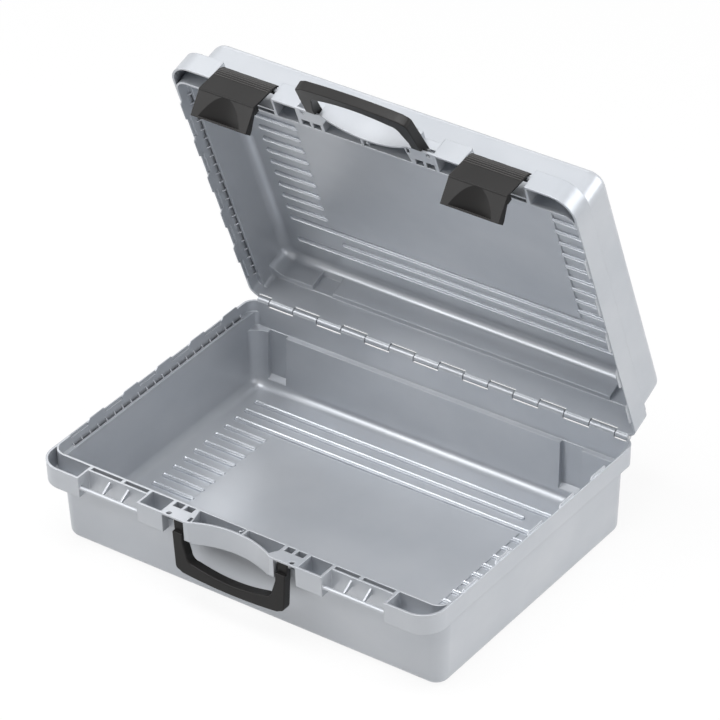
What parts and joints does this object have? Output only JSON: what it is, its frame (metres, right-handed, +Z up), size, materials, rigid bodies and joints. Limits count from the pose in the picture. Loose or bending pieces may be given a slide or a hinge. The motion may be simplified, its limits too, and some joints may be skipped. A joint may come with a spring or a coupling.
{
  "type": "plastic carrying case",
  "caption": "Moulded plastic carrying case, shown open: half shells on a long knuckle hinge, with folding handles and snap latches along the front",
  "frame": {"origin": "Centre of the case's underside, on the face the lower shell rests on", "axes": "+X along the front towards the viewer's right, +Y from the handle side to the hinge side, +Z up"},
  "size_m": [0.45, 0.395, 0.464],
  "materials": {
    "shell": "satin moulded polypropylene with a silver-grey pigment",
    "grip": "satin near-black plastic",
    "pin": "bright drawn steel wire"
  },
  "bodies": {
    "base": {"base_shell": "shell", "hinge_rod": "pin", "base_pin_left": "pin", "base_pin_right": "pin"},
    "lid": {"lid_shell": "shell", "lid_pin_left": "pin", "lid_pin_right": "pin"},
    "base_handle": {"base_handle": "grip"},
    "lid_handle": {"lid_handle": "grip"},
    "latch_left": {"latch_left": "grip"},
    "latch_right": {"latch_right": "grip"}
  },
  "joints": [
    {"name": "lid_hinge", "type": "hinge", "parent": "base", "child": "lid", "pos_m": [0, 0.172, 0.097], "axis": [-1, 0, 0], "range_deg": [-70, 40]},
    {"name": "base_handle_pivot", "type": "hinge", "parent": "base", "child": "base_handle", "pos_m": [0, -0.1635, 0.0895], "axis": [-1, 0, 0], "range_deg": [0, 100]},
    {"name": "lid_handle_pivot", "type": "hinge", "parent": "lid", "child": "lid_handle", "pos_m": [0, 0.0643, 0.41483], "axis": [1, 0, 0], "range_deg": [-100, 0]},
    {"name": "latch_left_pivot", "type": "hinge", "parent": "lid", "child": "latch_left", "pos_m": [-0.1395, 0.06761, 0.41976], "axis": [-1, 0, 0], "range_deg": [-10, 90]},
    {"name": "latch_right_pivot", "type": "hinge", "parent": "lid", "child": "latch_right", "pos_m": [0.1395, 0.06761, 0.41976], "axis": [-1, 0, 0], "range_deg": [-10, 90]}
  ]
}
